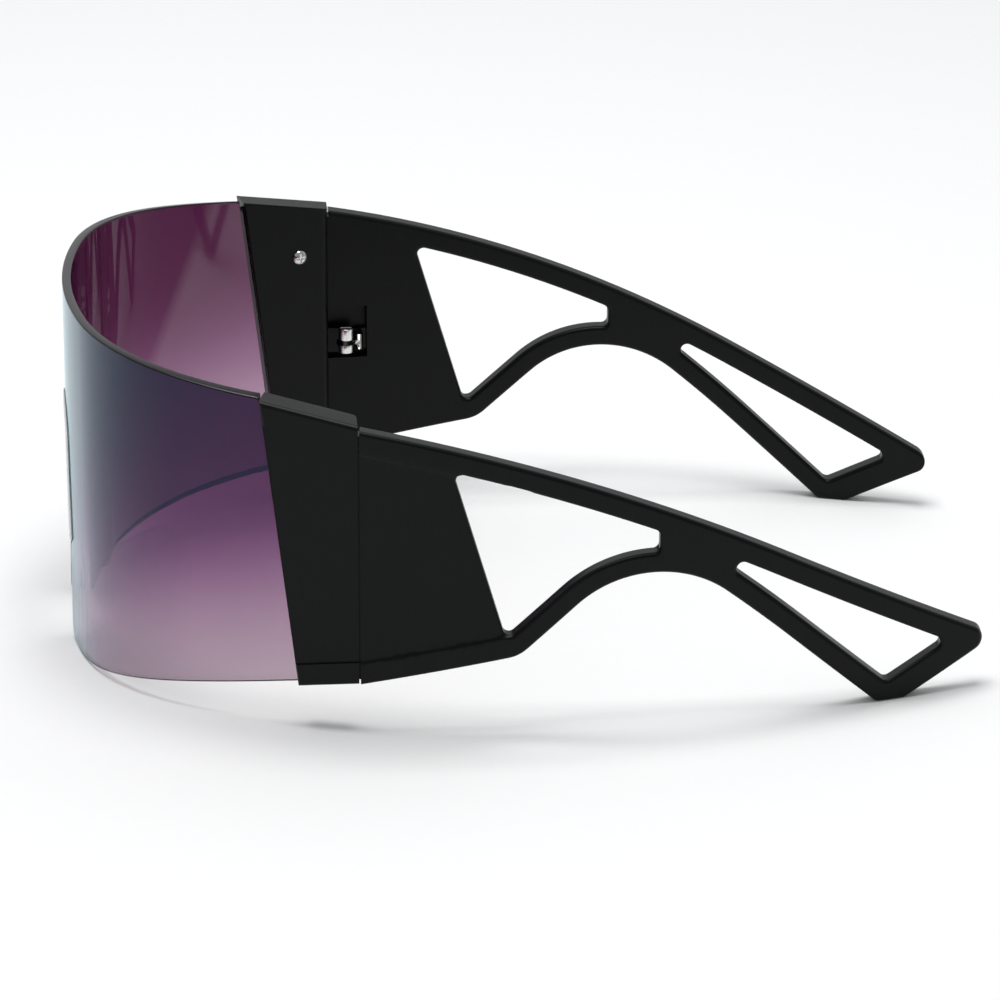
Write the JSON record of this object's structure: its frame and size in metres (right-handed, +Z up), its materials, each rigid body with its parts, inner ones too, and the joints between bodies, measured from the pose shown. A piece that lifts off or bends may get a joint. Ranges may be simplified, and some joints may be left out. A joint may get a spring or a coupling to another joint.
{
  "type": "shield sunglasses",
  "caption": "Wraparound shield sunglasses: one bent tinted lens between two end pieces, with wide windowed temples that fold on metal hinges.",
  "frame": {"origin": "centre of the bottom of the box round the open sunglasses, on the table they stand on", "axes": "+X to the wearer's left, +Y back towards the tips of the temples, +Z up; the front of the lens faces -Y"},
  "size_m": [0.1452, 0.194, 0.0775],
  "materials": {
    "tinted_lens": "polished, tinted plum, darker at the top, with a faint mirror coat",
    "clear_plastic": "clear and polished",
    "black_plastic": "satin black",
    "hinge_steel": "fine brushed",
    "screw_steel": "turned and polished",
    "insert_brass": "turned"
  },
  "bodies": {
    "front": {"lens": "tinted_lens", "nose_piece": "clear_plastic", "left_end_piece": "black_plastic", "left_lens_screws": "screw_steel", "left_screw_inserts": "insert_brass", "left_front_hinge_leaf": "hinge_steel", "left_hinge_screw": "screw_steel", "right_end_piece": "black_plastic", "right_lens_screws": "screw_steel", "right_screw_inserts": "insert_brass", "right_front_hinge_leaf": "hinge_steel", "right_hinge_screw": "screw_steel"},
    "left_arm": {"left_temple": "black_plastic", "left_temple_hinge_leaf": "hinge_steel"},
    "right_arm": {"right_temple": "black_plastic", "right_temple_hinge_leaf": "hinge_steel"}
  },
  "joints": [
    {"name": "left_temple_fold", "type": "hinge", "parent": "front", "child": "left_arm", "pos_m": [0.0668, -0.03271, 0.037], "axis": [0, 0, 1], "range_deg": [0, 84]},
    {"name": "right_temple_fold", "type": "hinge", "parent": "front", "child": "right_arm", "pos_m": [-0.0668, -0.03271, 0.037], "axis": [0, 0, -1], "range_deg": [0, 78]}
  ]
}
